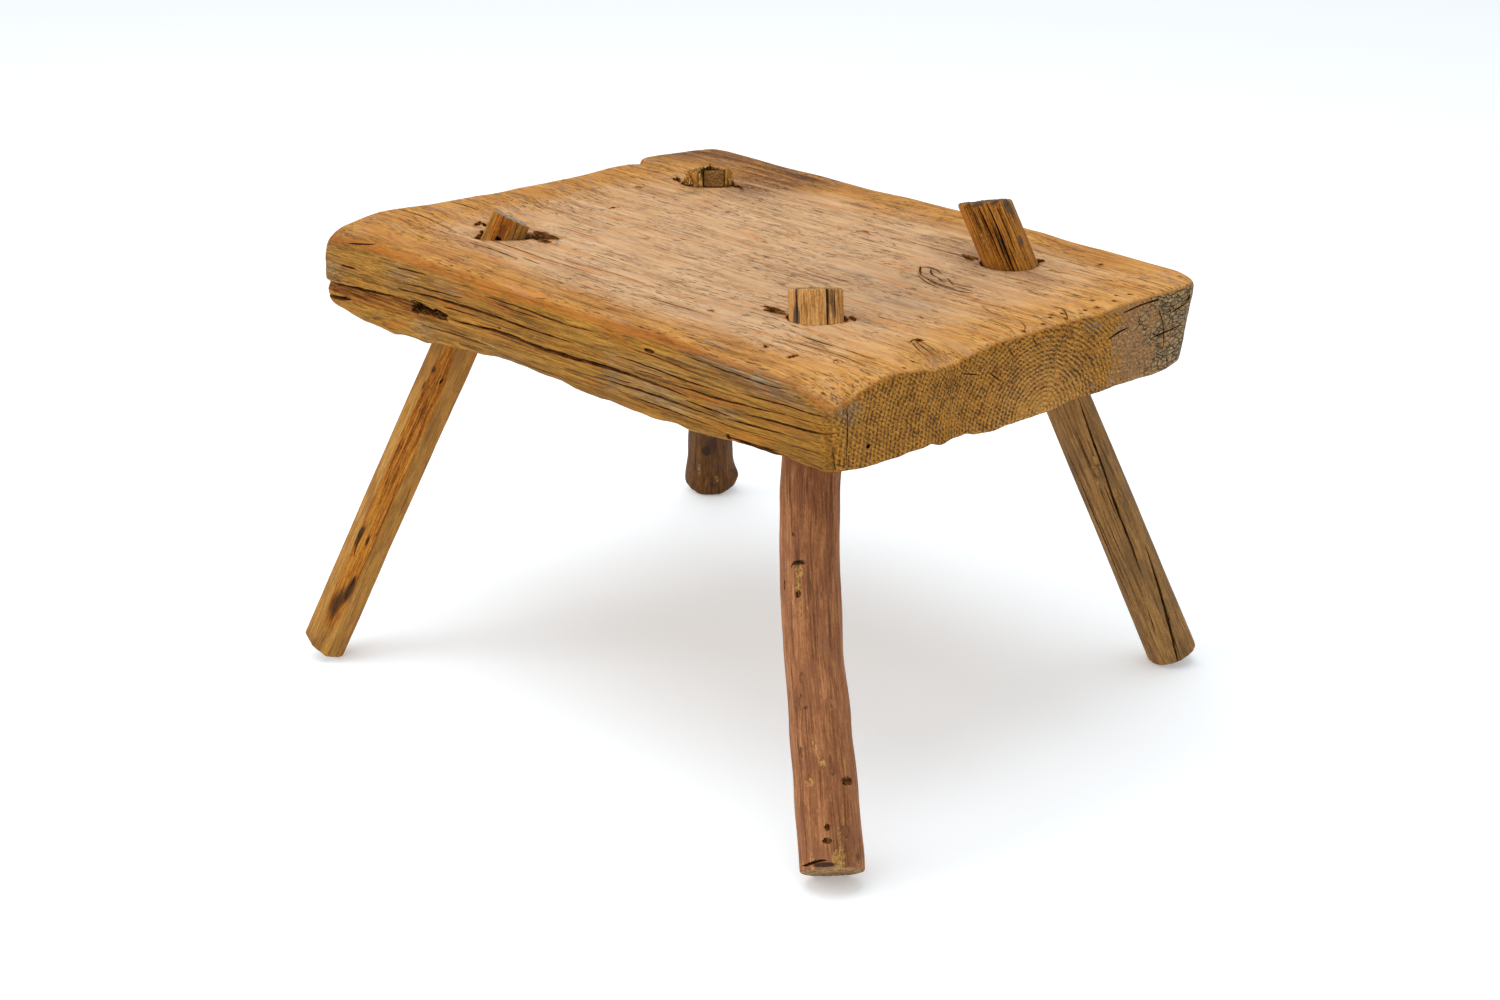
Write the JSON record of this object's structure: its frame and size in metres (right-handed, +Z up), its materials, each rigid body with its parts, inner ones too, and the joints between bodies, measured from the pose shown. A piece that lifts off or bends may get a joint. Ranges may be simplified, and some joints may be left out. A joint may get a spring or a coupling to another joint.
{
  "type": "milking stool",
  "caption": "Rustic low milking stool: a thick hewn plank seat on splayed stake legs driven up through slanting bores, tenon ends left proud of the top, with a wedge in a split tenon.",
  "frame": {"origin": "on the floor, under the middle of the stool's bounding box", "axes": "+Z up, +X along the seat's grain and its longer side, +Y across the seat; the front leg is the one at +X -Y"},
  "size_m": [0.52, 0.4152, 0.3076],
  "materials": {
    "seat_wood": "bare softwood, worn pale on top and orange at the arrises, long dark drying checks, grey weathering at the corners",
    "leg_front_wood": "peeled red-brown branch, matt, with knots and chips",
    "leg_right_wood": "bare grey-brown wood, matt, with long splits",
    "leg_back_wood": "dark brown peeled branch, matt, flared at the foot",
    "leg_left_wood": "shaved light ochre wood with an orange-brown streak",
    "wedge_wood": "rough split wood, matt"
  },
  "bodies": {
    "root": {"seat_slab": "seat_wood", "leg_front": "leg_front_wood", "leg_right": "leg_right_wood", "leg_back": "leg_back_wood", "leg_left": "leg_left_wood", "tenon_wedge": "wedge_wood"}
  },
  "joints": []
}
